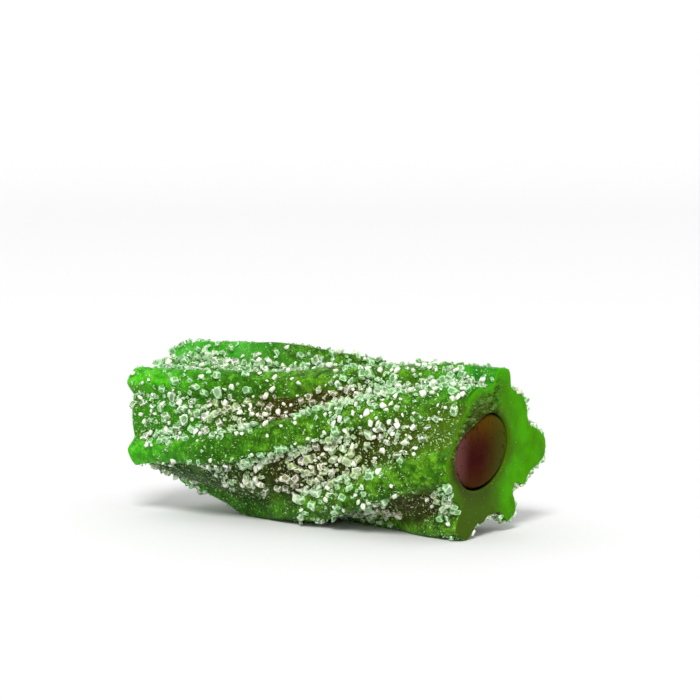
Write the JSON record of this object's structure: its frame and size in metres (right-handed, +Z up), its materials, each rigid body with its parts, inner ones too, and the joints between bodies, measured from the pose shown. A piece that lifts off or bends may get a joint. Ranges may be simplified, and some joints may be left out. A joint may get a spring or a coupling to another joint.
{
  "type": "sour licorice twist",
  "caption": "Short ribbed and twisted tube of green candy gel, slant-cut at both ends, with a dark red jelly filling and coarse sugar stuck to its outside.",
  "frame": {"origin": "under the middle of the shell's box, on the surface that the twist lies on", "axes": "+X along the twist, towards the end whose filling faces forward; +Z up; -Y is the side that faces the viewer in the picture"},
  "size_m": [0.0358, 0.0156, 0.0157],
  "materials": {
    "green_gel": "translucent green starch gel with bare, slightly shiny rib crests, a waxy knife cut at each end, and coarse sugar stuck in the valleys",
    "red_jelly": "smooth, satin, very dark red fruit jelly",
    "sugar_crystals": "clear to milky white blocky sugar crystals with bright facets and a green tint from the gel below"
  },
  "bodies": {
    "root": {"licorice_shell": "green_gel", "jelly_filling": "red_jelly"}
  },
  "joints": []
}
